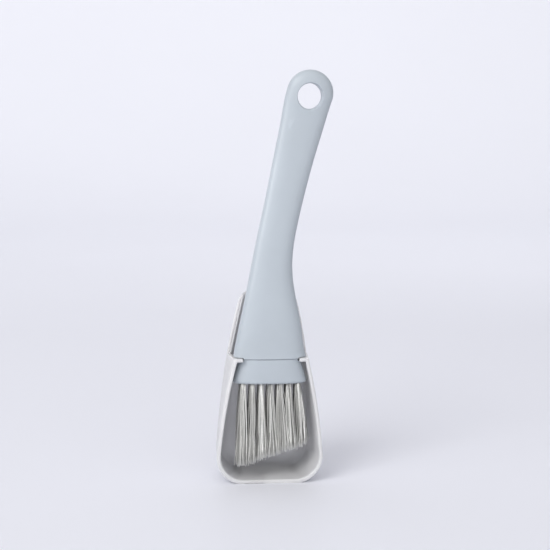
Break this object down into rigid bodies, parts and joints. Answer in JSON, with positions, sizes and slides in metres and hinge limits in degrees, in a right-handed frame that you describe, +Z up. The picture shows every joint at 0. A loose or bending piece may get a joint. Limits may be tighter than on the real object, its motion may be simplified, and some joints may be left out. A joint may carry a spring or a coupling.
{
  "type": "dustpan and brush set",
  "caption": "Upright hand brush nested in a scoop-shaped dustpan; the brush has a hollow leaning handle with a hanging hole and slanted bristles, and slides forward off two tabs.",
  "frame": {"origin": "on the dustpan's flat base, on its centre line, straight below the brush's mid-plane", "axes": "+Z up along the handle, -Y forward out of the dustpan's mouth, +X to the side the handle leans to"},
  "size_m": [0.077, 0.0448, 0.2806],
  "materials": {
    "pan_plastic": "white polypropylene, fine satin moulded texture",
    "handle_plastic": "light blue-grey polypropylene, fine matte moulded texture",
    "bristle_nylon": "bundles of straight warm-grey nylon filaments, cut square",
    "staple_steel": "plain flat steel wire"
  },
  "bodies": {
    "pan": {"dustpan": "pan_plastic"},
    "brush": {"handle_front_shell": "handle_plastic", "handle_back_shell": "handle_plastic", "bristle_block": "handle_plastic", "tuft_front_1": "bristle_nylon", "tuft_front_2": "bristle_nylon", "tuft_front_3": "bristle_nylon", "tuft_front_4": "bristle_nylon", "tuft_front_5": "bristle_nylon", "tuft_front_6": "bristle_nylon", "tuft_front_7": "bristle_nylon", "tuft_middle_1": "bristle_nylon", "tuft_middle_2": "bristle_nylon", "tuft_middle_3": "bristle_nylon", "tuft_middle_4": "bristle_nylon", "tuft_middle_5": "bristle_nylon", "tuft_middle_6": "bristle_nylon", "tuft_middle_7": "bristle_nylon", "tuft_back_1": "bristle_nylon", "tuft_back_2": "bristle_nylon", "tuft_back_3": "bristle_nylon", "tuft_back_4": "bristle_nylon", "tuft_back_5": "bristle_nylon", "tuft_back_6": "bristle_nylon", "tuft_back_7": "bristle_nylon", "tuft_staples": "staple_steel"}
  },
  "joints": [
    {"name": "brush_slide_out", "type": "slide", "parent": "pan", "child": "brush", "axis": [0, -1, 0], "range_m": [0, 0.09]}
  ]
}
